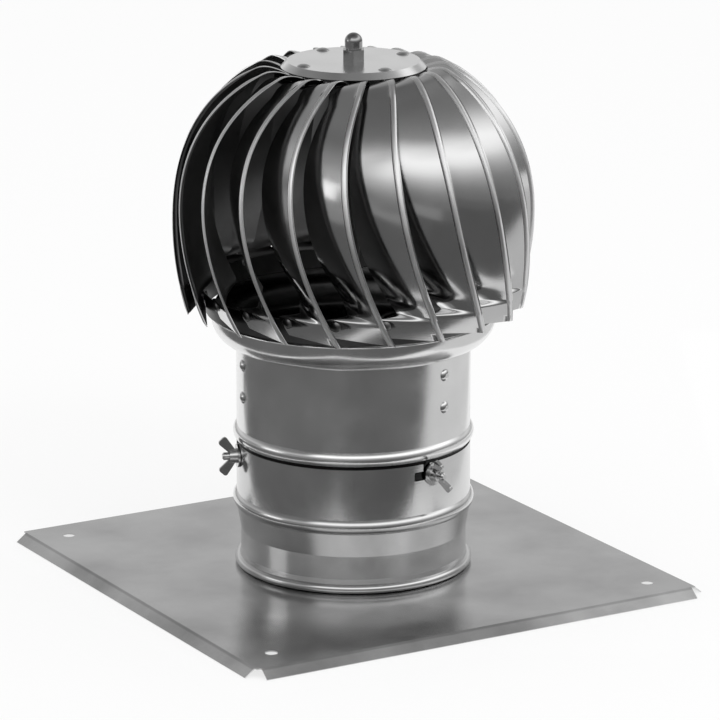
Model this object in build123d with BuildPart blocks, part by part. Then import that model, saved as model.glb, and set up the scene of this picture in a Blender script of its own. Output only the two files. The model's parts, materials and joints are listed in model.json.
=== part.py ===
# Rotating chimney cowl in stainless sheet: base plate with spigot, neck with bayonet clamps, turbine head.
# Millimetres. Z is up, the origin is on the axis at the level that the plate's turned-down edges stand on.
from build123d import *
import math
import os

# Sheet thicknesses
plate_t = 0.8
tube_t = 0.6
blade_t = 0.5
disc_t = 0.8

# Clearances
slide_gap = 0.3
touch_gap = 0.05
bore_gap = 0.05

# Base plate
plate_side = 318.0
edge_drop = 5.2
edge_out = 7.0
corner_notch = 3.0
lip_face = 0.6
fix_hole_r = 4.0
fix_inset = 22.0
plate_top = edge_drop + plate_t

# Flue tubes
tube_r = 75.0
foot_bead_r = 3.0
foot_clinch = 4.0
foot_r = 76.4
waist_r = 72.6
waist_low = 9.0
waist_high = 24.0
bead_out = 2.3
bead_h = 9.4
low_bead_z = 44.0
spigot_h = 81.8

# Neck, heights counted from the top of the spigot
neck_plug = 26.0
neck_bead_rise = 6.3
neck_h = 84.5
lip_r = 91.0
bowl_r = 18.4
lip_roll_r = 1.5

# Bayonet slots and clamps, three round the tube
clamp_count = 3
slot_end = 0.4
slot_corner = 1.2
clamp_angle = 42.0
clamp_drop = 7.6
bolt_r = 2.5
bolt_out = 9.3
bolt_head_r = 4.6
bolt_head_h = 3.0
slot_h = 5.8
entry_w = 5.2
entry_over = 2.0
entry_turn = 4.2
slot_turn = 9.0
washer_r = 7.5
washer_t = 1.2
nut_hub_r = 4.8
nut_hub_h = 4.9
nut_taper = 8.0
wing_span = 25.0
wing_w = 6.4
wing_corner_r = 1.7
wing_root_r = 2.1
wing_lean = 42.0
wing_t = 2.0
wing_turns = (40.0, 4.0, 26.0)

# Bearing spider
arm_count = 3
arm_side = -6.5
tail_share = 1.5
tail_h = 1.0
spindle_rise = 11.0
rivet_angle = 50.0
spider_z = 132.0
rivet_pitch = 21.0
tube_rivet_r = 4.0
tube_rivet_h = 1.8
rivet_shank_r = 1.9
arm_h = 34.0
arm_t = 2.0
arm_tab_w = 15.0
hub_r = 14.0
hub_h = 52.0
bearing_r = 11.0
bearing_w = 7.0
inner_ring_r = 6.0
spindle_r = 4.0
shield_t = 0.4
ring_wall = 1.6
bearing_seat = 1.0
spindle_tail = 14.0
hex_nut_af = 13.0
hex_nut_h = 6.5

# Turbine head, heights counted from the top of the base plate
blade_count = 20
head_r = 115.0
equator_h = 227.5
dome_rise = 9.8
dome_power = 2.236
skirt_h = 167.8
blade_low_h = 170.0
blade_top_r = 41.5
tuck_r = 62.0
tuck_knee_r = 54.5
end_drop = 7.0
twist_h = 112.0
low_swing_angle = 16.1
high_swing_angle = 27.6
tab_angle = 20.5
low_cut_angle = 7.0
high_cut_angle = 0.8
gap_closed_at = 76.0
tab_low_h = 13.5
tab_step = 3.0
tab_high_h = 34.0
tab_depth = 12.5
scoop_depth = 29.0
scoop_run = 12.0
depth_top = 2.6
camber_share = 0.19
tab_camber = 0.15
rib_w = 3.8
rib_h = 1.2
rib_edge = 0.7
rib_end_h = 0.12
panel_shares = (0.36, 0.6, 0.82, 1.0)
blade_steps = 7
tuck_steps = 40
rib_stop = 9.0
rib_fade = 12.0
tab_blend = 12.0
head_turn = 3.7
ring_seat = 0.6
ring_h = 15.0
ring_t = 1.0
ring_drop = 2.0
ring_rivet_r = 3.5
ring_rivet_h = 1.4
ring_shank_r = 1.5
ring_rivet_h_at = 9.0
ring_rivet_inset = 4.5
ring_rivet_grip = 3.6
disc_r = 46.0
disc_flat_r = 42.0
disc_h = 328.8
disc_edge = 3.8
hub_plate_r = 50.0
hub_plate_t = 1.5
top_rivet_count = 4
top_rivet_ring = 36.8
top_rivet_r = 4.4
top_rivet_h = 1.5
top_rivet_angle = 2.0
cap_af = 13.0
cap_hex_h = 7.0
cap_dome_r = 5.6
cap_neck_r = 5.0
cap_h = 17.5
cap_neck_h = 1.4

out_dir = "parts"
os.makedirs(out_dir, exist_ok=True)


def save(node, label):
    node.label = label
    export_step(node, os.path.join(out_dir, label + ".step"))


def polar(radius, angle, z):
    a = math.radians(angle)
    return Vector(radius * math.cos(a), radius * math.sin(a), z)


def turned(master, angle):
    # A copy of a piece made on the +X side, turned about the axis of the cowl
    with BuildPart() as copy:
        with Locations(Location((0, 0, 0), (0, 0, angle))):
            add(master)
    return copy.part


# Levels and radii that follow from the sizes above
spigot_r = tube_r + 0.2
spigot_top = plate_top + spigot_h
low_bead = plate_top + low_bead_z
clamp_z = spigot_top - clamp_drop
neck_bead = spigot_top + neck_bead_rise
neck_top = spigot_top + neck_h
bowl_z = neck_top - lip_roll_r
disc_top = plate_top + disc_h
dome_h = disc_h + dome_rise - equator_h
blade_end_h = disc_h - end_drop
hub_plate_h = blade_end_h - depth_top
ring_low_h = blade_low_h - ring_drop
hub_low = spider_z - hub_h / 2
hub_high = spider_z + hub_h / 2
washer_x = spigot_r + touch_gap
nut_x = washer_x + washer_t + touch_gap
bolt_end = nut_x + bolt_out


def arc_len(turn):
    return math.radians(turn) * spigot_r


def bowl_point(inset, radius=None):
    # Point of the bowl's quarter round below the lip, at a radius or half way up
    size = bowl_r - inset
    centre = lip_r - bowl_r
    if radius is None:
        radius = centre + size * math.sqrt(0.5)
    return radius, bowl_z - math.sqrt(size ** 2 - (radius - centre) ** 2)


def upright(angle=0.0):
    # Vertical plane through the axis: local x points outward at the angle, local y is up
    a = math.radians(angle)
    return Plane(origin=(0, 0, 0), x_dir=(math.cos(a), math.sin(a), 0), z_dir=(math.sin(a), -math.cos(a), 0))


def outward(angle, z, radius=0.0):
    # Plane that faces outward at the angle, with its origin on that radius at height z
    a = math.radians(angle)
    return Plane(origin=polar(radius, angle, z), x_dir=(-math.sin(a), math.cos(a), 0),
                 z_dir=(math.cos(a), math.sin(a), 0))


# Base plate: one sheet, four edges folded down and splayed, corners left open
with BuildPart() as base_plate:
    with BuildSketch(Plane.XY.offset(edge_drop)):
        Rectangle(plate_side, plate_side)
        Circle(waist_r + touch_gap, mode=Mode.SUBTRACT)
        with GridLocations(plate_side - 2 * fix_inset, plate_side - 2 * fix_inset, 2, 2):
            Circle(fix_hole_r, mode=Mode.SUBTRACT)
    extrude(amount=plate_t)
    for turn in range(4):
        with BuildSketch(upright(90 * turn)):
            edge = plate_side / 2
            with BuildLine():
                Polyline(
                    (edge - plate_t, plate_top),
                    (edge, plate_top),
                    (edge + edge_out, lip_face),
                    (edge + edge_out - lip_face, 0),
                    (edge - plate_t / 2, edge_drop),
                    (edge - plate_t, edge_drop),
                    close=True,
                )
            make_face()
        extrude(amount=plate_side / 2 - corner_notch, both=True)
save(base_plate.part, "base_plate")

# Base spigot: foot bead on the plate, clinched rim below it, waist, bead and three slots from the top edge
with BuildPart() as base_spigot:
    outer = spigot_r
    inner = spigot_r - tube_t
    with BuildSketch(upright()):
        with BuildLine():
            Polyline(
                (waist_r - tube_t, edge_drop - tube_t),
                (waist_r + foot_clinch, edge_drop - tube_t),
                (waist_r + foot_clinch, edge_drop),
                (waist_r, edge_drop),
                (waist_r, plate_top),
                (foot_r - foot_bead_r, plate_top),
            )
            ThreePointArc(
                (foot_r - foot_bead_r, plate_top),
                (foot_r, plate_top + foot_bead_r),
                (foot_r - foot_bead_r, plate_top + 2 * foot_bead_r),
            )
            Polyline(
                (foot_r - foot_bead_r, plate_top + 2 * foot_bead_r),
                (waist_r, plate_top + waist_low),
                (waist_r, plate_top + waist_high),
                (outer, low_bead - bead_h / 2),
            )
            ThreePointArc((outer, low_bead - bead_h / 2), (outer + bead_out, low_bead), (outer, low_bead + bead_h / 2))
            Polyline(
                (outer, low_bead + bead_h / 2),
                (outer, spigot_top),
                (inner, spigot_top),
                (inner, low_bead + bead_h / 2),
            )
            ThreePointArc((inner, low_bead + bead_h / 2), (inner + bead_out, low_bead), (inner, low_bead - bead_h / 2))
            Polyline(
                (inner, low_bead - bead_h / 2),
                (waist_r - tube_t, plate_top + waist_high),
                (waist_r - tube_t, edge_drop - tube_t),
            )
        make_face()
    revolve(axis=Axis.Z)
    for k in range(clamp_count):
        angle = clamp_angle + 360 / clamp_count * k
        leg_from = arc_len(-slot_turn) - bolt_r - slot_end
        leg_to = bolt_r + slot_end
        with BuildSketch(outward(angle, clamp_z)):
            with Locations(((leg_from + leg_to) / 2, 0)):
                RectangleRounded(leg_to - leg_from, slot_h, slot_corner)
            with Locations((arc_len(-entry_turn), (clamp_drop + entry_over) / 2)):
                Rectangle(entry_w, clamp_drop + entry_over)
        extrude(amount=tube_r + bead_h, mode=Mode.SUBTRACT)
save(base_spigot.part, "base_spigot")

# Neck tube: plug inside the spigot, bead that stands on it, bowl and rolled lip
with BuildPart() as neck_tube:
    plug = spigot_r - tube_t - slide_gap
    with BuildSketch(upright()):
        with BuildLine():
            Polyline(
                (plug - tube_t, spigot_top - neck_plug),
                (plug, spigot_top - neck_plug),
                (plug, neck_bead - bead_h / 2),
                (tube_r, neck_bead - bead_h / 2),
            )
            ThreePointArc(
                (tube_r, neck_bead - bead_h / 2),
                (tube_r + bead_out, neck_bead),
                (tube_r, neck_bead + bead_h / 2),
            )
            Line((tube_r, neck_bead + bead_h / 2), bowl_point(0, tube_r))
            ThreePointArc(bowl_point(0, tube_r), bowl_point(0), (lip_r, bowl_z))
            ThreePointArc((lip_r, bowl_z), (lip_r - lip_roll_r, neck_top), (lip_r - 2 * lip_roll_r, bowl_z))
            Line((lip_r - 2 * lip_roll_r, bowl_z), (lip_r - tube_t, bowl_z))
            ThreePointArc((lip_r - tube_t, bowl_z), bowl_point(tube_t), bowl_point(tube_t, tube_r - tube_t))
            Polyline(
                bowl_point(tube_t, tube_r - tube_t),
                (tube_r - tube_t, neck_bead + bead_h / 2),
                (plug - tube_t, neck_bead - bead_h / 2),
                (plug - tube_t, spigot_top - neck_plug),
            )
        make_face()
    revolve(axis=Axis.Z)
    for k in range(clamp_count):
        with BuildSketch(outward(clamp_angle + 360 / clamp_count * k, clamp_z)):
            Circle(bolt_r + bore_gap)
        extrude(amount=tube_r + bead_h, mode=Mode.SUBTRACT)
    for k in range(arm_count):
        with BuildSketch(outward(rivet_angle + 360 / arm_count * k, spider_z)):
            with GridLocations(1, rivet_pitch, 1, 2):
                Circle(rivet_shank_r + bore_gap)
        extrude(amount=tube_r + bead_h, mode=Mode.SUBTRACT)
save(neck_tube.part, "neck_tube")

# Bearing arm: strip on edge from the hub, with a tab bent along the inside of the neck tube
with BuildPart() as arm_master:
    wall = tube_r - tube_t
    with BuildSketch(Plane.XY.offset(spider_z - arm_h / 2)):
        with BuildSketch(Plane.XY, mode=Mode.PRIVATE) as tab_ring:
            Circle(wall - touch_gap)
            Circle(wall - touch_gap - arm_t, mode=Mode.SUBTRACT)
            with Locations((wall, 0)):
                Rectangle(4 * arm_tab_w, arm_tab_w, mode=Mode.INTERSECT)
        add(tab_ring.sketch)
        with Locations(((hub_r / 2 + wall - arm_t) / 2, arm_side)):
            Rectangle(wall - arm_t - hub_r / 2, arm_t)
        Circle(hub_r + touch_gap, mode=Mode.SUBTRACT)
    extrude(amount=arm_h)
    with BuildSketch(outward(0, spider_z, hub_r * 2)):
        with GridLocations(1, rivet_pitch, 1, 2):
            Circle(rivet_shank_r + bore_gap)
    extrude(amount=tube_r, mode=Mode.SUBTRACT)
for k in range(arm_count):
    save(turned(arm_master.part, rivet_angle + 360 / arm_count * k), f"bearing_arm_{k + 1}")

# Bearing hub: a tube with a seat for a ball bearing at each end
with BuildPart() as bearing_hub:
    with BuildSketch(Plane.XY.offset(spider_z - hub_h / 2)):
        Circle(hub_r)
        Circle(bearing_r - bearing_seat, mode=Mode.SUBTRACT)
    extrude(amount=hub_h)
    for level in (hub_low, hub_high - bearing_w):
        with BuildSketch(Plane.XY.offset(level)):
            Circle(bearing_r + bore_gap)
        extrude(amount=bearing_w, mode=Mode.SUBTRACT)
save(bearing_hub.part, "bearing_hub")


def outer_ring(low):
    # Outer race with the two shields that close the bearing
    with BuildPart() as ring:
        with BuildSketch(Plane.XY.offset(low)):
            Circle(bearing_r)
            Circle(bearing_r - ring_wall, mode=Mode.SUBTRACT)
        extrude(amount=bearing_w)
        for level in (low, low + bearing_w - shield_t):
            with BuildSketch(Plane.XY.offset(level)):
                Circle(bearing_r)
                Circle(inner_ring_r + slide_gap, mode=Mode.SUBTRACT)
            extrude(amount=shield_t)
    return ring.part


def sleeve(low, height, radius):
    # Plain ring on the spindle
    with BuildPart() as ring:
        with BuildSketch(Plane.XY.offset(low)):
            Circle(radius)
            Circle(spindle_r + bore_gap, mode=Mode.SUBTRACT)
        extrude(amount=height)
    return ring.part


def hex_nut(low):
    with BuildPart() as nut:
        with BuildSketch(Plane.XY.offset(low)):
            RegularPolygon(hex_nut_af / 2, 6, major_radius=False)
            Circle(spindle_r + bore_gap, mode=Mode.SUBTRACT)
        extrude(amount=hex_nut_h)
    return nut.part


save(outer_ring(hub_low), "bearing_outer_low")
save(outer_ring(hub_high - bearing_w), "bearing_outer_high")
save(sleeve(hub_low, bearing_w, inner_ring_r), "bearing_inner_low")
save(sleeve(hub_high - bearing_w, bearing_w, inner_ring_r), "bearing_inner_high")
save(sleeve(hub_low + bearing_w, hub_h - 2 * bearing_w, inner_ring_r), "spacer_tube")
save(hex_nut(hub_low - hex_nut_h), "lock_nut_low")
save(hex_nut(hub_high), "lock_nut_high")
save(hex_nut(plate_top + hub_plate_h - hub_plate_t - hex_nut_h), "hub_plate_nut")

# Spindle from below the lower bearing up into the cap nut
with BuildPart() as spindle:
    with BuildSketch(Plane.XY.offset(hub_low - spindle_tail)):
        Circle(spindle_r)
    extrude(amount=disc_top + spindle_rise - hub_low + spindle_tail)
    chamfer(spindle.edges().filter_by(GeomType.CIRCLE), length=spindle_r / 5)
save(spindle.part, "spindle")


def domed_rivet(place, head_r, head_h, shank_r, grip):
    # Half section turned about the plane's normal: domed head outside, shank and low tail head inside
    with BuildPart() as rivet:
        with BuildSketch(Plane(origin=place.origin, x_dir=place.x_dir, z_dir=-place.y_dir)):
            with BuildLine():
                ThreePointArc((0, head_h), (head_r * 0.62, head_h * 0.72), (head_r, 0))
                Polyline(
                    (head_r, 0),
                    (shank_r, 0),
                    (shank_r, -grip),
                    (shank_r * tail_share, -grip),
                    (shank_r, -grip - tail_h),
                    (0, -grip - tail_h),
                    (0, head_h),
                )
            make_face()
        revolve(axis=Axis(place.origin, place.z_dir))
    return rivet.part


# Tube rivets: pairs that hold the arm tabs
with BuildPart() as tube_rivets:
    for k in range(arm_count):
        for rise in (-rivet_pitch / 2, rivet_pitch / 2):
            seat = outward(rivet_angle + 360 / arm_count * k, spider_z + rise, tube_r)
            add(domed_rivet(seat, tube_rivet_r, tube_rivet_h, rivet_shank_r, tube_t + arm_t + 2 * touch_gap))
save(tube_rivets.part, "tube_rivets")

# Clamp bolts: head inside the plug, shank out through the slot, rounded end
with BuildPart() as bolt_master:
    seat_x = math.sqrt((spigot_r - 2 * tube_t - slide_gap) ** 2 - bolt_head_r ** 2) - touch_gap
    with BuildSketch(outward(0, clamp_z, seat_x)):
        Circle(bolt_head_r)
    extrude(amount=-bolt_head_h)
    with BuildSketch(outward(0, clamp_z, seat_x)):
        Circle(bolt_r)
    extrude(amount=bolt_end - seat_x)
    chamfer(bolt_master.edges().filter_by(GeomType.CIRCLE).sort_by(Axis.X)[-1], length=bolt_r * 0.4)
with BuildPart() as clamp_bolts:
    for k in range(clamp_count):
        add(turned(bolt_master.part, clamp_angle + 360 / clamp_count * k))
save(clamp_bolts.part, "clamp_bolts")

# Washer against the outside of the spigot
with BuildPart() as washer_master:
    with BuildSketch(outward(0, clamp_z, washer_x)):
        Circle(washer_r)
        Circle(bolt_r + 2 * bore_gap, mode=Mode.SUBTRACT)
    extrude(amount=washer_t)


def wing_nut(turn):
    # Tapered hub with two square-ended wings that lean outward
    lean = math.radians(wing_lean)
    tip = wing_span / 2 - wing_corner_r
    half = wing_w / 2 - wing_corner_r
    rise = nut_hub_h / 2 + (tip - nut_hub_r + wing_root_r) * math.tan(lean)
    with BuildPart() as nut:
        with BuildSketch(outward(0, clamp_z, nut_x)):
            Circle(nut_hub_r)
        extrude(amount=nut_hub_h, taper=nut_taper)
        with BuildSketch(Plane(origin=(nut_x, 0, clamp_z), x_dir=(1, 0, 0), z_dir=(0, 1, 0)).rotated((turn, 0, 0))):
            for side in (-1, 1):
                with BuildSketch(mode=Mode.PRIVATE) as wing:
                    with Locations((nut_hub_h / 2, side * (nut_hub_r - wing_root_r))):
                        Circle(wing_root_r)
                    inner = (rise, side * (tip - 2 * half * math.sin(lean)))
                    outer = (rise - 2 * half * math.cos(lean), side * tip)
                    with Locations(inner, outer):
                        Circle(wing_corner_r)
                    make_hull()
                add(wing.sketch)
        extrude(amount=wing_t / 2, both=True)
        with BuildSketch(outward(0, clamp_z, nut_x)):
            Circle(bolt_r + bore_gap)
        extrude(amount=2 * wing_span, mode=Mode.SUBTRACT)
    return nut.part


for k in range(clamp_count):
    angle = clamp_angle + 360 / clamp_count * k
    save(turned(washer_master.part, angle), f"washer_{k + 1}")
    save(turned(wing_nut(wing_turns[k]), angle), f"wing_nut_{k + 1}")


def head_radius(h):
    # Outside profile of the head: flattened dome over a long elliptic skirt
    if h > equator_h:
        return head_r * (1 - ((h - equator_h) / dome_h) ** dome_power) ** (1 / dome_power)
    return head_r * math.sqrt(1 - ((equator_h - h) / skirt_h) ** 2)


def meridian():
    # Points (length, radius, height) along the profile: up the dome, then over a knee and down under the disc
    points = [(0.0, head_radius(blade_low_h), blade_low_h)]
    step = dome_h / 800
    while points[-1][1] > tuck_r or points[-1][2] < equator_h:
        length, r, h = points[-1]
        nxt = head_radius(h + step)
        points.append((length + math.hypot(nxt - r, step), nxt, h + step))
    r_from, h_from = points[-1][1], points[-1][2]
    slope = (h_from - points[-2][2]) / (points[-2][1] - r_from)
    knee_h = h_from + slope * (r_from - tuck_knee_r)
    for k in range(1, tuck_steps + 1):
        u = k / tuck_steps
        r = r_from * (1 - u) ** 2 + 2 * tuck_knee_r * u * (1 - u) + blade_top_r * u ** 2
        h = h_from * (1 - u) ** 2 + 2 * knee_h * u * (1 - u) + blade_end_h * u ** 2
        length, r_last, h_last = points[-1]
        points.append((length + math.hypot(r - r_last, h - h_last), r, h))
    return points


path = meridian()
path_len = path[-1][0]


def at_length(length):
    # Radius, height and outward normal of the profile at a length along it
    i = min(range(len(path) - 1), key=lambda j: abs(path[j][0] - length))
    i = min(max(i, 1), len(path) - 2)
    r, h = path[i][1], path[i][2]
    dr, dh = path[i + 1][1] - path[i - 1][1], path[i + 1][2] - path[i - 1][2]
    size = math.hypot(dr, dh)
    return r, h, dh / size, -dr / size


def twist(length):
    # Angle of the ribbed edge, zero where the edge stands upright
    swing = low_swing_angle if length < twist_h else high_swing_angle
    return swing * (length / twist_h - 1) ** 2


def span(length):
    # Angle that the blade covers: wide at the tabs, cut back between them, most of all above the lower tab
    if length <= tab_low_h:
        return tab_angle
    share = max(0.0, (gap_closed_at - length) / (gap_closed_at - tab_low_h))
    cut_back = 360 / blade_count - high_cut_angle - (low_cut_angle - high_cut_angle) * share ** 2
    rise = min(1.0, max(0.0, (length - path_len + tab_high_h) / tab_blend))
    return cut_back + (tab_angle - cut_back) * rise


def depth(length):
    # How far the inner edge lies inside the ribbed edge: scooped in above the lower tab, less towards the top
    if length <= tab_low_h:
        return tab_depth
    scooped = depth_top + (scoop_depth - depth_top) * (path_len - length) / (path_len - tab_low_h)
    return tab_depth + (scooped - tab_depth) * min(1.0, (length - tab_low_h) / scoop_run)


def blade_plane(length):
    # Section plane: origin on the ribbed edge, local x towards the inner edge, local y outward
    r, h, nr, nz = at_length(length)
    a0 = twist(length)
    a1 = a0 - span(length)
    edge = polar(r, a0, plate_top + h)
    d = depth(length)
    inside = polar(r - d * nr, a1, plate_top + h - d * nz)
    chord = inside - edge
    out = polar(nr, a0, nz)
    along = out.cross(chord).normalized()
    return Plane(origin=edge, x_dir=chord, z_dir=-along), chord.length


def blade_section(length):
    # Cambered sheet section with the pressed rib beside its outer edge
    place, width = blade_plane(length)
    fade = min(1.0, max(0.0, (path_len - rib_stop - length) / rib_fade))
    crown = rib_end_h + (rib_h - rib_end_h) * fade
    flank = rib_w / 4
    camber = max(tab_camber, camber_share * (depth(length) - tab_depth))
    rib = [(0, 0), (rib_edge, 0), (rib_edge + flank, crown), (rib_edge + rib_w - flank, crown), (rib_edge + rib_w, 0)]
    flat = [(width * share, 0) for share in panel_shares]
    top = [(x, y + 4 * camber * x / width * (1 - x / width)) for x, y in rib + flat]
    low = [(x, y - blade_t) for x, y in reversed(top)]
    return place, top + low


stations = [0.0, tab_low_h, tab_low_h + tab_step]
stations += [tab_low_h + scoop_run]
first, last = stations[-1], path_len - tab_high_h
stations += [first + (last - first) * k / blade_steps for k in range(1, blade_steps + 1)]
stations += [path_len - tab_high_h + tab_blend, path_len - rib_stop, path_len]

# Blade: ruled strip through the sections, with a rivet hole in its lower tab
with BuildPart() as blade_master:
    for length in stations:
        place, outline = blade_section(length)
        with BuildSketch(place):
            with BuildLine():
                Polyline(*outline, close=True)
            make_face()
    loft(ruled=True)
    place, width = blade_plane(ring_rivet_h_at)
    spot = place.origin + place.x_dir * (width - ring_rivet_inset)
    with BuildSketch(Plane(origin=spot, x_dir=place.x_dir, z_dir=place.y_dir)):
        Circle(ring_shank_r + bore_gap)
    extrude(amount=blade_t * 4, both=True, mode=Mode.SUBTRACT)
for k in range(blade_count):
    save(turned(blade_master.part, head_turn + 360 / blade_count * k), f"blade_{k + 1:02d}")

# Bottom rivets: one through each lower tab and the ring
with BuildPart() as bottom_rivets:
    place, width = blade_plane(ring_rivet_h_at)
    spot = place.origin + place.x_dir * (width - ring_rivet_inset)
    seat = Plane(origin=spot + place.y_dir * slide_gap, x_dir=place.x_dir, z_dir=place.y_dir)
    one = domed_rivet(seat, ring_rivet_r, ring_rivet_h, ring_shank_r, ring_rivet_grip)
    for k in range(blade_count):
        add(turned(one, head_turn + 360 / blade_count * k))
save(bottom_rivets.part, "bottom_rivets")

# Bottom ring: cone that follows the inner ends of the lower tabs
with BuildPart() as bottom_ring:
    low_r = head_radius(blade_low_h) - tab_depth - blade_t - ring_seat
    high_r = head_radius(ring_low_h + ring_h) - tab_depth - blade_t - ring_seat
    with BuildSketch(upright()):
        with BuildLine():
            Polyline(
                (low_r, plate_top + ring_low_h),
                (high_r, plate_top + ring_low_h + ring_h),
                (high_r - ring_t, plate_top + ring_low_h + ring_h),
                (low_r - ring_t, plate_top + ring_low_h),
                close=True,
            )
        make_face()
    revolve(axis=Axis.Z)
    place, width = blade_plane(ring_rivet_h_at)
    spot = place.origin + place.x_dir * (width - ring_rivet_inset)
    with BuildPart(mode=Mode.PRIVATE) as drill:
        with BuildSketch(Plane(origin=spot, x_dir=place.x_dir, z_dir=place.y_dir)):
            Circle(ring_shank_r + bore_gap)
        extrude(amount=ring_rivet_grip * 2, both=True)
    for k in range(blade_count):
        add(turned(drill.part, head_turn + 360 / blade_count * k), mode=Mode.SUBTRACT)
save(bottom_ring.part, "bottom_ring")

# Hub plate: flat disc that carries the blade tops
with BuildPart() as hub_plate:
    with BuildSketch(Plane.XY.offset(plate_top + hub_plate_h - hub_plate_t)):
        Circle(hub_plate_r)
        Circle(spindle_r + bore_gap, mode=Mode.SUBTRACT)
        with PolarLocations(top_rivet_ring, top_rivet_count, start_angle=top_rivet_angle):
            Circle(rivet_shank_r + bore_gap, mode=Mode.SUBTRACT)
    extrude(amount=hub_plate_t)
save(hub_plate.part, "hub_plate")

# Top disc: shallow pan over the blade tops
with BuildPart() as top_disc:
    with BuildSketch(upright()):
        with BuildLine():
            Polyline(
                (spindle_r + bore_gap, disc_top),
                (disc_flat_r, disc_top),
                (disc_r, disc_top - disc_edge),
                (disc_r - disc_t, disc_top - disc_edge),
                (disc_flat_r - disc_t / 2, disc_top - disc_t),
                (spindle_r + bore_gap, disc_top - disc_t),
                close=True,
            )
        make_face()
    revolve(axis=Axis.Z)
    with BuildSketch(Plane.XY.offset(disc_top)):
        with PolarLocations(top_rivet_ring, top_rivet_count, start_angle=top_rivet_angle):
            Circle(rivet_shank_r + bore_gap)
    extrude(amount=-2 * disc_t, mode=Mode.SUBTRACT)
save(top_disc.part, "top_disc")

# Top rivets: through the disc and the hub plate
with BuildPart() as top_rivets:
    for k in range(top_rivet_count):
        spot = polar(top_rivet_ring, top_rivet_angle + 360 / top_rivet_count * k, disc_top)
        seat = Plane(origin=spot, x_dir=(1, 0, 0), z_dir=(0, 0, 1))
        add(domed_rivet(seat, top_rivet_r, top_rivet_h, rivet_shank_r, disc_h - hub_plate_h + hub_plate_t))
save(top_rivets.part, "top_rivets")

# Cap nut: hexagon, necked dome, blind bore over the spindle's end
with BuildPart() as cap_nut:
    with BuildSketch(Plane.XY.offset(disc_top)):
        RegularPolygon(cap_af / 2, 6, major_radius=False)
    extrude(amount=cap_hex_h)
    with BuildSketch(upright()):
        with BuildLine():
            Polyline(
                (0, disc_top + cap_hex_h),
                (cap_neck_r, disc_top + cap_hex_h),
                (cap_neck_r, disc_top + cap_hex_h + cap_neck_h),
                (cap_dome_r, disc_top + cap_hex_h + cap_neck_h),
                (cap_dome_r, disc_top + cap_h - cap_dome_r),
            )
            ThreePointArc(
                (cap_dome_r, disc_top + cap_h - cap_dome_r),
                (cap_dome_r * math.sqrt(0.5), disc_top + cap_h - cap_dome_r * (1 - math.sqrt(0.5))),
                (0, disc_top + cap_h),
            )
            Line((0, disc_top + cap_h), (0, disc_top + cap_hex_h))
        make_face()
    revolve(axis=Axis.Z)
    with BuildSketch(Plane.XY.offset(disc_top)):
        Circle(spindle_r + bore_gap)
    extrude(amount=spindle_rise + slide_gap, mode=Mode.SUBTRACT)
save(cap_nut.part, "cap_nut")
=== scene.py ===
import bpy
import bmesh
import json
import math
from mathutils import Matrix, Vector


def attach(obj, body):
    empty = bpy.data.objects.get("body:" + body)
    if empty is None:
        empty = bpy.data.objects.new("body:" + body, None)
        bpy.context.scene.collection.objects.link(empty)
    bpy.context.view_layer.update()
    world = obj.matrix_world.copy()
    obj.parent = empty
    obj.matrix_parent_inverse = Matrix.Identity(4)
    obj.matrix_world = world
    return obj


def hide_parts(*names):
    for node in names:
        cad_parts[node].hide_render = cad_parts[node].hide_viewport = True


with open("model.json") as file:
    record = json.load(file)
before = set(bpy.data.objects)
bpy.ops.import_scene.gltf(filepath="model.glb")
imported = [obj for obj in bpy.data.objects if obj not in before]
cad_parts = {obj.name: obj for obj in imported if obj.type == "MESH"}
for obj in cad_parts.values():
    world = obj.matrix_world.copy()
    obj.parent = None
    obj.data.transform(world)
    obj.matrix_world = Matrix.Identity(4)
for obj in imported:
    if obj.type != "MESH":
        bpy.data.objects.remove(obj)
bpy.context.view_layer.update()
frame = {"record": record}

MM = 0.001

# Camera: the photograph's view, worked out from the plate's corners and the tube's ellipses
VIEW_AZIMUTH = -30.2
VIEW_ELEVATION = 15.3
VIEW_ROLL = 0.05
VIEW_DISTANCE = 2.88
VIEW_LENS = 225.0
SENSOR_WIDTH = 36.0
FAR_LIMIT = 50.0
AIM_HEIGHT = 0.1392
AIM_RIGHT = 0.0042

# Sizes shared with the construction, in millimetres, with angles in degrees
plate_top = 6.0
blade_t = 0.5
blade_count = 20
pitch = 360 / blade_count
head_turn = 3.7
head_r = 115.0
equator_h = 227.5
disc_h = 328.8
dome_rise = 9.8
dome_h = disc_h + dome_rise - equator_h
dome_power = 2.236
skirt_h = 167.8
blade_low_h = 170.0
blade_top_r = 41.5
tuck_r = 62.0
tuck_knee_r = 54.5
end_drop = 7.0
blade_end_h = disc_h - end_drop
tuck_steps = 40
twist_h = 112.0
low_swing_angle = 16.1
high_swing_angle = 27.6
tab_angle = 20.5
low_cut_angle = 7.0
high_cut_angle = 0.8
gap_closed_at = 76.0
tab_low_h = 13.5
tab_high_h = 34.0
tab_blend = 12.0
tab_depth = 12.5
scoop_depth = 29.0
scoop_run = 12.0
depth_top = 2.6
camber_share = 0.19
tab_camber = 0.15
rib_w = 3.8
rib_h = 1.2
rib_edge = 0.7
rib_stop = 9.0
rib_fade = 12.0

# Sizes of the fine blades alone
dome_steps = 800
blade_rows = 72
corner_lead = 1.0
corner_run = 4.0
corner_rows = 8
rib_columns = 8
skin_columns = 10
rib_power = 0.8
rib_start = 2.0
rib_rise = 5.0
tab_rib_loss = 0.75
blade_smooth_angle = 40.0

# Collar inside the neck's lip, a strip standing where there is only shade: radius and height of each corner
# of its section
collar_section = ((88.3, 170.2), (88.3, 178.2), (88.0, 178.8), (87.6, 178.2), (87.6, 170.2))
collar_sides = 160
collar_smooth_angle = 35.0


# Helpers for meshes

def new_object(name, mesh, body, replaced=()):
    piece = bpy.data.objects.new(name, mesh)
    bpy.context.scene.collection.objects.link(piece)
    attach(piece, body)
    if replaced:
        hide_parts(*replaced)


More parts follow.
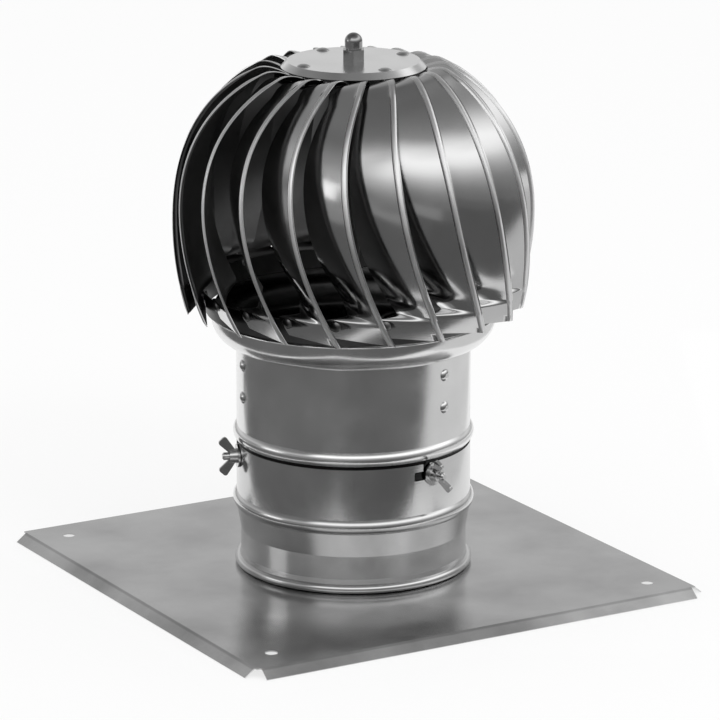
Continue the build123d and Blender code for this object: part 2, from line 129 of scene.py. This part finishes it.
def new_data(mesh, name):
    data = bpy.data.meshes.new(name)
    mesh.to_mesh(data)
    mesh.free()
    return data


def smooth(mesh, angle):
    for face in mesh.polygons:
        face.use_smooth = True
    mesh.set_sharp_from_angle(angle=math.radians(angle))


def polar(r, angle, z):
    a = math.radians(angle)
    return Vector((r * math.cos(a), r * math.sin(a), z))


def ease(x):
    x = min(1.0, max(0.0, x))
    return x * x * (3 - 2 * x)


# Blades: the same law as the construction, drawn with fine smooth strips

def head_radius(h):
    if h > equator_h:
        rest = 1 - ((h - equator_h) / dome_h) ** dome_power
        return head_r * max(0.0, rest) ** (1 / dome_power)
    return head_r * math.sqrt(1 - ((equator_h - h) / skirt_h) ** 2)


def bend(u, first, knee, last):
    return first * (1 - u) ** 2 + 2 * knee * u * (1 - u) + last * u ** 2


def meridian():
    # Length along the blade, radius and height: up the ball, then over a knee to lie under the disc
    points = [(0.0, head_radius(blade_low_h), blade_low_h)]
    step = dome_h / dome_steps
    while points[-1][1] > tuck_r or points[-1][2] < equator_h:
        length, r, h = points[-1]
        r_next = head_radius(h + step)
        points.append((length + math.hypot(r_next - r, step), r_next, h + step))
    r_from, h_from = points[-1][1], points[-1][2]
    slope = (h_from - points[-2][2]) / (points[-2][1] - r_from)
    knee_h = h_from + slope * (r_from - tuck_knee_r)
    for k in range(1, tuck_steps + 1):
        u = k / tuck_steps
        r = bend(u, r_from, tuck_knee_r, blade_top_r)
        h = bend(u, h_from, knee_h, blade_end_h)
        length, r_last, h_last = points[-1]
        points.append((length + math.hypot(r - r_last, h - h_last), r, h))
    return points


path = meridian()
path_len = path[-1][0]


def at_length(length):
    # Radius and height on the path, and the two parts of its outward normal
    low, high = 0, len(path) - 1
    while high - low > 1:
        mid = (low + high) // 2
        if path[mid][0] < length:
            low = mid
        else:
            high = mid
    share = (length - path[low][0]) / (path[high][0] - path[low][0])
    r = path[low][1] + (path[high][1] - path[low][1]) * share
    h = path[low][2] + (path[high][2] - path[low][2]) * share
    i = min(max(low, 1), len(path) - 2)
    dr = path[i + 1][1] - path[i - 1][1]
    dh = path[i + 1][2] - path[i - 1][2]
    size = math.hypot(dr, dh)
    return r, h, dh / size, -dr / size


def twist(length):
    swing = low_swing_angle if length < twist_h else high_swing_angle
    return swing * (length / twist_h - 1) ** 2


def cut_span(length):
    share = max(0.0, (gap_closed_at - length) / (gap_closed_at - tab_low_h))
    return pitch - high_cut_angle - (low_cut_angle - high_cut_angle) * share ** 2


def top_tab_share(length):
    return ease((length - path_len + tab_high_h) / tab_blend)


def span(length):
    # The cut-out's lower corner is rounded
    corner = ease((length - tab_low_h + corner_lead) / corner_run)
    low_part = tab_angle + (cut_span(length) - tab_angle) * corner
    return low_part + (tab_angle - cut_span(length)) * top_tab_share(length)


def depth(length):
    if length <= tab_low_h:
        return tab_depth
    share = (path_len - length) / (path_len - tab_low_h)
    scooped = depth_top + (scoop_depth - depth_top) * share
    return tab_depth + (scooped - tab_depth) * ease((length - tab_low_h) / scoop_run)


def strip_frame(length):
    r, h, nr, nz = at_length(length)
    edge_angle = twist(length)
    inside_angle = edge_angle - span(length)
    d = depth(length)
    edge = polar(r, edge_angle, plate_top + h)
    inside = polar(r - d * nr, inside_angle, plate_top + h - d * nz)
    chord = inside - edge
    width = chord.length
    chord.normalize()
    along = polar(nr, edge_angle, nz).cross(chord).normalized()
    outward = chord.cross(along).normalized()
    return edge, chord, outward, width


def blade_section(length, width):
    # Outer face across the blade: edge, crowned rib, then the cambered sheet
    camber = max(tab_camber, camber_share * (depth(length) - tab_depth))
    fade = ease((path_len - rib_stop - length) / rib_fade) * ease((length + rib_start) / rib_rise)
    low_rib = 1 - tab_rib_loss * top_tab_share(length)
    crown = rib_h * fade * low_rib
    start = rib_edge + rib_w
    outline = [(0.0, 0.0), (rib_edge, 0.0)]
    for i in range(1, rib_columns):
        t = i / rib_columns
        outline.append((rib_edge + rib_w * t, crown * math.sin(math.pi * t) ** rib_power))
    outline.append((start, 0.0))
    for i in range(1, skin_columns + 1):
        outline.append((start + (width - start) * i / skin_columns, 0.0))
    return [(x, y + 4 * camber * x / width * (1 - x / width)) for x, y in outline]


def blade_mesh(name):
    # The rib's faces take the second material, with a painted highlight, and those of the inward side take
    # the third, with painted shade
    mesh = bmesh.new()
    rows = []
    lengths = [path_len * i / blade_rows for i in range(blade_rows + 1)]
    for i in range(corner_rows + 1):
        lengths.append(tab_low_h - corner_lead + corner_run * i / corner_rows)
    lengths = sorted(set(round(x, 3) for x in lengths))
    for length in lengths:
        edge, chord, outward, width = strip_frame(length)
        outline = blade_section(length, width)
        top = [edge + chord * x + outward * y for x, y in outline]
        low = [edge + chord * x + outward * (y - blade_t) for x, y in outline]
        rows.append([mesh.verts.new(p * MM) for p in top + low[::-1]])
    n = len(rows[0])
    half = n // 2
    for a, b in zip(rows, rows[1:]):
        for i in range(n):
            j = (i + 1) % n
            face = mesh.faces.new((a[i], a[j], b[j], b[i]))
            if 1 <= i <= rib_columns:
                face.material_index = 1
            elif half <= i < n - 1:
                face.material_index = 2
    for row, flip in ((rows[0], True), (rows[-1], False)):
        for i in range(half - 1):
            quad = [row[i], row[i + 1], row[n - 2 - i], row[n - 1 - i]]
            mesh.faces.new(quad[::-1] if flip else quad)
    bmesh.ops.recalc_face_normals(mesh, faces=mesh.faces)
    data = new_data(mesh, name)
    smooth(data, blade_smooth_angle)
    return data


def collar_mesh(name):
    mesh = bmesh.new()
    rings = []
    for r, z in collar_section:
        corners = [polar(r, 360 * i / collar_sides, z) * MM for i in range(collar_sides)]
        rings.append([mesh.verts.new(p) for p in corners])
    for low, high in zip(rings, rings[1:] + rings[:1]):
        for i in range(collar_sides):
            j = (i + 1) % collar_sides
            mesh.faces.new((low[i], low[j], high[j], high[i]))
    bmesh.ops.recalc_face_normals(mesh, faces=mesh.faces)
    data = new_data(mesh, name)
    smooth(data, collar_smooth_angle)
    return data


# Materials

# Sockets of the colour mix node
MIX_SHARE = 0
MIX_FIRST = 6
MIX_SECOND = 7
MIX_COLOUR = 2

# Noise values between which tone and roughness change, and the roughness there as shares of the sheet's own
CLOUDS_FROM = 0.3
TONE_CLOUDS_TO = 0.7
HAZE_CLOUDS_TO = 0.75
SMOOTH_SHARE = 0.75
ROUGH_SHARE = 1.35
CLOUD_DETAIL = 5.0

# Rolling lines and waviness: depths in metres
LINE_DETAIL = 6.0
LINE_DEPTH = 0.00005
WAVE_SCALE = 14.0
WAVE_DETAIL = 1.0
WAVE_DEPTH = 0.002

# Levels of the tone: painted shade inside the tubes and in the seam between them, painted light on the
# plate's turned-down edges
INSIDE_SHADE_LEVEL = 0.25
INSIDE_SHADE_SOFTNESS = 0.012
SEAM_SHADE_LEVEL = 0.04
SEAM_SHADE_HEIGHT = 0.0905
RIM_LIGHT_LEVEL = 1.35
RIM_LIGHT_HEIGHT = 0.0052
HEIGHT_SOFTNESS = 0.0006

# Scales of the lines: large across them, small along them
PLATE_LINES = (40, 1500, 40)
TUBE_LINES = (30, 30, 2500)
BLADE_LINES = (60, 60, 900)
DISC_LINES = (900, 60, 60)
SMALL_PART_LINES = (400, 400, 400)
INNER_LINES = (100, 100, 900)
BEARING_LINES = (300, 300, 1500)


def node_material(name):
    mat = bpy.data.materials.new(name)
    mat.use_nodes = True
    return mat, mat.node_tree.nodes, mat.node_tree.links


def ramp(nodes, stops):
    node = nodes.new("ShaderNodeValToRGB")
    elements = node.color_ramp.elements
    for place, _ in stops[2:]:
        elements.new(place)
    for i, (place, value) in enumerate(stops):
        elements[i].position = place
        elements[i].color = (value, value, value, 1)
    return node


def ramp_by(nodes, links, value, stops):
    node = ramp(nodes, stops)
    links.new(value, node.inputs["Fac"])
    return node.outputs["Color"]


def noise(nodes, links, vector, scale, detail):
    node = nodes.new("ShaderNodeTexNoise")
    node.inputs["Scale"].default_value = scale
    node.inputs["Detail"].default_value = detail
    links.new(vector, node.inputs["Vector"])
    return node.outputs["Fac"]


def bump_by(nodes, links, height, strength, distance):
    node = nodes.new("ShaderNodeBump")
    node.inputs["Strength"].default_value = strength
    node.inputs["Distance"].default_value = distance
    links.new(height, node.inputs["Height"])
    return node


def shade_by(nodes, links, colour, share, level):
    # Multiplies a colour by a level where the share reaches one
    mix = nodes.new("ShaderNodeMix")
    mix.data_type = "RGBA"
    mix.blend_type = "MULTIPLY"
    mix.inputs[MIX_SECOND].default_value = (level, level, level, 1)
    links.new(share, mix.inputs[MIX_SHARE])
    links.new(colour, mix.inputs[MIX_FIRST])
    return mix.outputs[MIX_COLOUR]


def step_between(nodes, links, value, full, none):
    node = nodes.new("ShaderNodeMapRange")
    node.inputs["From Min"].default_value = none
    node.inputs["From Max"].default_value = full
    links.new(value, node.inputs["Value"])
    return node.outputs["Result"]


def faces_axis(nodes, links):
    # One on faces that look towards the cowl's axis, none on the others: the mask of the painted shade
    # inside the tubes
    place = nodes.new("ShaderNodeNewGeometry")
    flat = nodes.new("ShaderNodeVectorMath")
    flat.operation = "MULTIPLY"
    flat.inputs[1].default_value = (1, 1, 0)
    links.new(place.outputs["Position"], flat.inputs[0])
    facing = nodes.new("ShaderNodeVectorMath")
    facing.operation = "DOT_PRODUCT"
    links.new(flat.outputs["Vector"], facing.inputs[0])
    links.new(place.outputs["Normal"], facing.inputs[1])
    return step_between(nodes, links, facing.outputs["Value"], -INSIDE_SHADE_SOFTNESS, 0.0)


def below(nodes, links, vector, height):
    place = nodes.new("ShaderNodeSeparateXYZ")
    links.new(vector, place.inputs["Vector"])
    return step_between(nodes, links, place.outputs["Z"], height - HEIGHT_SOFTNESS, height)


def steel(name, tone, rough, line_scale, line_strength, cloud_scale, cloud_tone,
          wave=0.0, inside=False, seam_shade=False, rim_light=False):
    # Polished sheet: clouded tone and roughness, lines stretched along one direction, slight waviness; where
    # asked, painted shade inside and in the seam, painted light on the turned-down edges
    mat, nodes, links = node_material(name)
    shader = nodes["Principled BSDF"]
    shader.inputs["Metallic"].default_value = 1.0
    coords = nodes.new("ShaderNodeTexCoord").outputs["Object"]
    clouds = noise(nodes, links, coords, cloud_scale, CLOUD_DETAIL)
    tones = [(CLOUDS_FROM, tone - cloud_tone), (TONE_CLOUDS_TO, tone + cloud_tone)]
    colour = ramp_by(nodes, links, clouds, tones)
    # Painted shade on the faces inside the tubes
    if inside:
        colour = shade_by(nodes, links, colour, faces_axis(nodes, links), INSIDE_SHADE_LEVEL)
    # Painted shade on the neck below the seam height, in the gap between it and the lower tube
    if seam_shade:
        colour = shade_by(nodes, links, colour, below(nodes, links, coords, SEAM_SHADE_HEIGHT), SEAM_SHADE_LEVEL)
    # Painted light: the plate's turned-down edges lighter than its top
    if rim_light:
        colour = shade_by(nodes, links, colour, below(nodes, links, coords, RIM_LIGHT_HEIGHT), RIM_LIGHT_LEVEL)
    links.new(colour, shader.inputs["Base Color"])
    hazes = [(CLOUDS_FROM, rough * SMOOTH_SHARE), (HAZE_CLOUDS_TO, rough * ROUGH_SHARE)]
    links.new(ramp_by(nodes, links, clouds, hazes), shader.inputs["Roughness"])
    squeeze = nodes.new("ShaderNodeMapping")
    squeeze.inputs["Scale"].default_value = line_scale
    links.new(coords, squeeze.inputs["Vector"])
    lines = noise(nodes, links, squeeze.outputs["Vector"], 1.0, LINE_DETAIL)
    last = bump_by(nodes, links, lines, line_strength, LINE_DEPTH)
    if wave:
        swell = noise(nodes, links, coords, WAVE_SCALE, WAVE_DETAIL)
        second = bump_by(nodes, links, swell, wave, WAVE_DEPTH)
        links.new(last.outputs["Normal"], second.inputs["Normal"])
        last = second
    links.new(last.outputs["Normal"], shader.inputs["Normal"])
    return mat


# Plate: turned-down edges lightened as painted light
plate_mat = steel(
    "plate_sheet", tone=0.46, rough=0.19, line_scale=PLATE_LINES, line_strength=0.2,
    cloud_scale=16.0, cloud_tone=0.12, wave=0.12, rim_light=True,
)
# Tubes: faces inside darkened as painted shade
tube_mat = steel(
    "tube_sheet", tone=0.62, rough=0.17, line_scale=TUBE_LINES, line_strength=0.35,
    cloud_scale=30.0, cloud_tone=0.04, wave=0.04, inside=True,
)
# Neck: faces inside and the band below the seam height darkened as painted shade
neck_mat = steel(
    "neck_sheet", tone=0.78, rough=0.2, line_scale=TUBE_LINES, line_strength=0.35,
    cloud_scale=30.0, cloud_tone=0.04, wave=0.04, inside=True, seam_shade=True,
)
blade_mat = steel(
    "blade_sheet", tone=0.58, rough=0.15, line_scale=BLADE_LINES, line_strength=0.08,
    cloud_scale=30.0, cloud_tone=0.03,
)
# Rib lighter than the sheet around it, as a painted highlight
rib_highlight_mat = steel(
    "blade_rib_highlight", tone=0.8, rough=0.37, line_scale=BLADE_LINES, line_strength=0.05,
    cloud_scale=30.0, cloud_tone=0.03,
)
# Inward side of the blades and the bottom ring darkened as painted shade
shade_mat = steel(
    "blade_inner_shade", tone=0.14, rough=0.37, line_scale=BLADE_LINES, line_strength=0.08,
    cloud_scale=30.0, cloud_tone=0.03,
)
disc_mat = steel(
    "disc_sheet", tone=0.8, rough=0.2, line_scale=DISC_LINES, line_strength=0.2,
    cloud_scale=30.0, cloud_tone=0.03,
)
clamp_mat = steel(
    "clamp_metal", tone=0.55, rough=0.16, line_scale=SMALL_PART_LINES, line_strength=0.1,
    cloud_scale=90.0, cloud_tone=0.04,
)
cap_mat = steel(
    "cap_metal", tone=0.3, rough=0.14, line_scale=SMALL_PART_LINES, line_strength=0.1,
    cloud_scale=90.0, cloud_tone=0.04,
)
fastener_mat = steel(
    "fastener_metal", tone=0.66, rough=0.16, line_scale=SMALL_PART_LINES, line_strength=0.1,
    cloud_scale=90.0, cloud_tone=0.05,
)
# Parts inside the head darkened as painted shade
inner_shade_mat = steel(
    "inner_strip_shade", tone=0.14, rough=0.37, line_scale=INNER_LINES, line_strength=0.3,
    cloud_scale=40.0, cloud_tone=0.03,
)
# Bearing metal, also used dark as painted shade on the bottom rivets
bearing_and_shade_mat = steel(
    "bearing_metal_and_shade", tone=0.2, rough=0.37, line_scale=BEARING_LINES, line_strength=0.1,
    cloud_scale=60.0, cloud_tone=0.03,
)

by_slot = {
    "plate_steel": plate_mat,
    "tube_steel": tube_mat,
    "blade_steel": blade_mat,
    "disc_steel": disc_mat,
    "fastener_steel": fastener_mat,
    "inner_steel": inner_shade_mat,
    "bearing_steel": bearing_and_shade_mat,
}
looks = {}
for entry in frame["record"]["subparts"]:
    looks[entry["node"]] = by_slot[entry["material_slot"]]

# Pieces whose look differs from the others in their slot; the bottom ring, the hub plate and the bottom
# rivets take dark tones as painted shade inside the head
for k in (1, 2, 3):
    looks[f"wing_nut_{k}"] = clamp_mat
    looks[f"washer_{k}"] = clamp_mat
looks["clamp_bolts"] = clamp_mat
looks["neck_tube"] = neck_mat
# Painted shade: the bottom ring takes the dark tone of the blades' inward side
looks["bottom_ring"] = shade_mat
# Painted shade: the hub plate takes the dark tone of the parts inside the head
looks["hub_plate"] = inner_shade_mat
looks["cap_nut"] = cap_mat
# Painted shade: the bottom rivets inside the head take the dark bearing tone
looks["bottom_rivets"] = bearing_and_shade_mat

for node, mat in looks.items():
    for holder in bpy.data.objects[node].material_slots:
        holder.link = "OBJECT"
        holder.material = mat

blade_data = blade_mesh("blade_form")
for mat in (blade_mat, rib_highlight_mat, shade_mat):
    blade_data.materials.append(mat)
for k in range(blade_count):
    turn = Matrix.Rotation(math.radians(head_turn + pitch * k), 4, "Z")
    data = blade_data.copy()
    data.transform(turn)
    new_object(f"blade_skin_{k + 1:02d}", data, "head", (f"blade_{k + 1:02d}",))

# In the photograph no light shows between the neck's lip and the head's ring, so a low collar closes the
# gap: a strip put there as painted shade
collar_data = collar_mesh("lip_shade_collar")
collar_data.materials.append(tube_mat)
new_object("lip_shade_collar", collar_data, "neck")


# Helpers for the room

def placed(name, data, place, turn):
    piece = bpy.data.objects.new(name, data)
    piece.location = place
    piece.rotation_euler = turn
    bpy.context.scene.collection.objects.link(piece)
    return piece


def plane_mesh(name, width, height, mat):
    mesh = bpy.data.meshes.new(name)
    x, y = width / 2, height / 2
    mesh.from_pydata([(-x, -y, 0), (x, -y, 0), (x, y, 0), (-x, y, 0)], [], [(0, 1, 2, 3)])
    mesh.materials.append(mat)
    return mesh


def towards(azimuth, elevation):
    # Unit vector from the axis; the azimuth is counted from the front, to its right
    a = math.radians(azimuth)
    e = math.radians(elevation)
    return Vector((math.sin(a) * math.cos(e), -math.cos(a) * math.cos(e), math.sin(e)))


# Floor and world

FLOOR_SIZE = 12.0
FLOOR_TONE = 0.9
FLOOR_ROUGHNESS = 0.8
WHITE_SHARE = 0.7


def plain_card(name, tone):
    # Mostly white to the camera and in reflections, with a part of the shadow kept; pale to other light
    mat, nodes, links = node_material(name)
    shader = nodes["Principled BSDF"]
    shader.inputs["Base Color"].default_value = (tone, tone, tone, 1)
    shader.inputs["Roughness"].default_value = FLOOR_ROUGHNESS
    rays = nodes.new("ShaderNodeLightPath")
    seen = rays.outputs["Is Camera Ray"]
    for kind in ("Is Glossy Ray", "Is Transmission Ray"):
        most = nodes.new("ShaderNodeMath")
        most.operation = "MAXIMUM"
        links.new(seen, most.inputs[0])
        links.new(rays.outputs[kind], most.inputs[1])
        seen = most.outputs["Value"]
    part = nodes.new("ShaderNodeMath")
    part.operation = "MULTIPLY"
    part.inputs[1].default_value = WHITE_SHARE
    links.new(seen, part.inputs[0])
    white = nodes.new("ShaderNodeEmission")
    white.inputs["Color"].default_value = (1, 1, 1, 1)
    white.inputs["Strength"].default_value = 1.0
    mix = nodes.new("ShaderNodeMixShader")
    links.new(part.outputs["Value"], mix.inputs["Fac"])
    links.new(shader.outputs["BSDF"], mix.inputs[1])
    links.new(white.outputs["Emission"], mix.inputs[2])
    links.new(mix.outputs["Shader"], nodes["Material Output"].inputs["Surface"])
    return mat


floor_mat = plain_card("floor_card", FLOOR_TONE)
plane = placed("floor", plane_mesh("floor", FLOOR_SIZE, FLOOR_SIZE, floor_mat), (0, 0, 0), (0, 0, 0))

world = bpy.data.worlds.new("room")
bpy.context.scene.world = world
world.use_nodes = True
world.node_tree.nodes["Background"].inputs["Color"].default_value = (1, 1, 1, 1)


# Studio surround, seen in reflections only: a banded dome, tables, the floor beyond and a window

ROOM_RADIUS = 3.0
ROOM_HEIGHT = 0.2
ROOM_GLOW = 2.0
DOME_SEGMENTS = 96
DOME_RINGS = 48

# Half the glow by the sine of the height angle: to the camera's left, to its right and behind the cowl
LEFT_STOPS = [
    (0.0, 0.18), (0.1, 0.12), (0.16, 0.15), (0.24, 0.25), (0.34, 0.29), (0.44, 0.21), (0.56, 0.14),
    (0.65, 0.1), (0.77, 0.12), (1.0, 0.08),
]
RIGHT_STOPS = [
    (0.0, 0.12), (0.12, 0.16), (0.22, 0.25), (0.32, 0.4), (0.42, 0.65), (0.56, 0.8), (0.69, 0.57),
    (0.8, 0.2), (1.0, 0.09),
]
REAR_STOPS = [(0.0, 0.2), (0.12, 0.36), (0.22, 0.4), (0.32, 0.28), (0.45, 0.2), (1.0, 0.2)]

# Direction in degrees across which left goes over into right, and where that and the rear begin and end
SIDES_MEET = -42.0
SIDES_FROM = -0.12
SIDES_TO = 0.08
REAR_FROM = 0.3
REAR_TO = 0.8

# Tables around the white sheet that the cowl stands on, and the floor beyond them, in metres
TABLE_HEIGHT = 0.002
TABLE_FRONT = 1.1
TABLE_SIDE = 1.2
FLOOR_END = 6.0
SHEET_FRONT = 0.17
SHEET_LEFT = -0.065
SHEET_CORNER = 0.257

# Name, glow and corners, each corner to the camera's right and towards the camera
TABLES = (
    ("table_front", 0.13, (
        (SHEET_LEFT, TABLE_FRONT), (SHEET_LEFT, SHEET_CORNER), (0.086, SHEET_FRONT),
        (TABLE_SIDE, SHEET_FRONT), (TABLE_SIDE, TABLE_FRONT),
    )),
    ("table_left", 0.15, (
        (SHEET_LEFT, SHEET_CORNER), (SHEET_LEFT, TABLE_FRONT), (-TABLE_SIDE, TABLE_FRONT),
        (-TABLE_SIDE, -0.428), (-0.46, -0.428),
    )),
    ("table_right", 0.7, (
        (0.25, -0.6), (TABLE_SIDE, -0.6), (TABLE_SIDE, SHEET_FRONT), (0.25, SHEET_FRONT),
    )),
    ("floor_front_left", 0.34, (
        (-FLOOR_END, TABLE_FRONT), (0.0, TABLE_FRONT), (0.0, FLOOR_END), (-FLOOR_END, FLOOR_END),
    )),
    ("floor_front_right", 0.17, (
        (0.0, TABLE_FRONT), (FLOOR_END, TABLE_FRONT), (FLOOR_END, FLOOR_END), (0.0, FLOOR_END),
    )),
    ("floor_left", 0.34, (
        (-FLOOR_END, -3.0), (-TABLE_SIDE, -3.0), (-TABLE_SIDE, TABLE_FRONT), (-FLOOR_END, TABLE_FRONT),
    )),
    ("floor_right", 0.2, (
        (TABLE_SIDE, 0.2), (FLOOR_END, 0.2), (FLOOR_END, TABLE_FRONT), (TABLE_SIDE, TABLE_FRONT),
    )),
)

# Window, by its direction from the camera's, its distance and its size
WINDOW_AZIMUTH = VIEW_AZIMUTH - 82
WINDOW_ELEVATION = 9
WINDOW_DISTANCE = 2.6
WINDOW_WIDTH = 1.0
WINDOW_HEIGHT = 0.5
WINDOW_GLOW = 1.7


def reflected_only(piece):
    piece.visible_camera = False
    piece.visible_diffuse = False
    piece.visible_shadow = False
    piece.visible_volume_scatter = False


def glowing(name, glow):
    mat, nodes, links = node_material(name)
    nodes.remove(nodes["Principled BSDF"])
    light = nodes.new("ShaderNodeEmission")
    light.inputs["Color"].default_value = (1, 1, 1, 1)
    light.inputs["Strength"].default_value = glow
    links.new(light.outputs["Emission"], nodes["Material Output"].inputs["Surface"])
    return mat


def soft_mix(nodes, links, value, low, high, first, second):
    share = nodes.new("ShaderNodeMapRange")
    share.interpolation_type = "SMOOTHSTEP"
    share.inputs["From Min"].default_value = low
    share.inputs["From Max"].default_value = high
    links.new(value, share.inputs["Value"])
    mix = nodes.new("ShaderNodeMix")
    mix.data_type = "RGBA"
    links.new(share.outputs["Result"], mix.inputs[MIX_SHARE])
    links.new(first, mix.inputs[MIX_FIRST])
    links.new(second, mix.inputs[MIX_SECOND])
    return mix.outputs[MIX_COLOUR]


def room_material(name):
    mat = glowing(name, ROOM_GLOW)
    nodes, links = mat.node_tree.nodes, mat.node_tree.links
    coords = nodes.new("ShaderNodeTexCoord")
    scale = nodes.new("ShaderNodeMapping")
    scale.inputs["Scale"].default_value = (1 / ROOM_RADIUS, 1 / ROOM_RADIUS, 1 / ROOM_RADIUS)
    links.new(coords.outputs["Object"], scale.inputs["Vector"])
    axes = nodes.new("ShaderNodeSeparateXYZ")
    links.new(scale.outputs["Vector"], axes.inputs["Vector"])
    left_tone = ramp_by(nodes, links, axes.outputs["Z"], LEFT_STOPS)
    right_tone = ramp_by(nodes, links, axes.outputs["Z"], RIGHT_STOPS)
    rear_tone = ramp_by(nodes, links, axes.outputs["Z"], REAR_STOPS)
    across = nodes.new("ShaderNodeVectorMath")
    across.operation = "DOT_PRODUCT"
    across.inputs[1].default_value = polar(1, SIDES_MEET, 0)
    links.new(scale.outputs["Vector"], across.inputs[0])
    sides = soft_mix(nodes, links, across.outputs["Value"], SIDES_FROM, SIDES_TO, left_tone, right_tone)
    whole = soft_mix(nodes, links, axes.outputs["Y"], REAR_FROM, REAR_TO, sides, rear_tone)
    links.new(whole, nodes["Emission"].inputs["Color"])
    return mat


def room_dome(name):
    mesh = bmesh.new()
    bmesh.ops.create_uvsphere(mesh, u_segments=DOME_SEGMENTS, v_segments=DOME_RINGS, radius=ROOM_RADIUS)
    data = new_data(mesh, name)
    data.materials.append(room_material(name))
    reflected_only(placed(name, data, (0, 0, ROOM_HEIGHT), (0, 0, math.radians(VIEW_AZIMUTH))))


def table_part(name, glow, corners):
    to_camera = towards(VIEW_AZIMUTH, 0)
    to_right = polar(1, VIEW_AZIMUTH, 0)
    lift = Vector((0, 0, TABLE_HEIGHT))
    mesh = bpy.data.meshes.new(name)
    places = [to_right * x + to_camera * d + lift for x, d in corners]
    mesh.from_pydata(places, [], [tuple(range(len(places)))])
    mesh.materials.append(glowing(name, glow))
    reflected_only(placed(name, mesh, (0, 0, 0), (0, 0, 0)))


def window_card(name):
    # Glowing card that faces the cowl
    spot = towards(WINDOW_AZIMUTH, WINDOW_ELEVATION) * WINDOW_DISTANCE
    turn = spot.to_track_quat("Z", "Y").to_euler()
    mesh = plane_mesh(name, WINDOW_WIDTH, WINDOW_HEIGHT, glowing(name, WINDOW_GLOW))
    reflected_only(placed(name, mesh, spot + Vector((0, 0, ROOM_HEIGHT)), turn))


room_dome("room_dome")
for name, glow, corners in TABLES:
    table_part(name, glow, corners)
window_card("window_left")


# Lamp, which lights the floor and isn't seen in the polished sheet

LAMP_AZIMUTH = VIEW_AZIMUTH + 35
LAMP_ELEVATION = 40
LAMP_DISTANCE = 2.4
LAMP_WIDTH = 0.7
LAMP_HEIGHT = 0.5
LAMP_POWER = 10
LAMP_AIM_HEIGHT = 0.18

lamp = bpy.data.lights.new("key", "AREA")
lamp.shape = "RECTANGLE"
lamp.size = LAMP_WIDTH
lamp.size_y = LAMP_HEIGHT
lamp.energy = LAMP_POWER
lamp_spot = towards(LAMP_AZIMUTH, LAMP_ELEVATION) * LAMP_DISTANCE
lamp_turn = lamp_spot.to_track_quat("Z", "Y").to_euler()
key = placed("key", lamp, lamp_spot + Vector((0, 0, LAMP_AIM_HEIGHT)), lamp_turn)
key.visible_glossy = False

# Camera
right = polar(1, VIEW_AZIMUTH, 0)
back = towards(VIEW_AZIMUTH, VIEW_ELEVATION)
up = back.cross(right)
roll = math.radians(VIEW_ROLL)
cam_x = right * math.cos(roll) + up * math.sin(roll)
cam_y = up * math.cos(roll) - right * math.sin(roll)
target = right * AIM_RIGHT + Vector((0, 0, AIM_HEIGHT))
spot = target + back * VIEW_DISTANCE
camera_data = bpy.data.cameras.new("camera")
camera_data.lens = VIEW_LENS
camera_data.sensor_width = SENSOR_WIDTH
camera_data.clip_end = FAR_LIMIT
camera = bpy.data.objects.new("camera", camera_data)
camera.matrix_world = Matrix((
    (cam_x.x, cam_y.x, back.x, spot.x),
    (cam_x.y, cam_y.y, back.y, spot.y),
    (cam_x.z, cam_y.z, back.z, spot.z),
    (0, 0, 0, 1),
))
bpy.context.scene.collection.objects.link(camera)
bpy.context.scene.camera = camera
bpy.context.scene.view_settings.view_transform = "Standard"
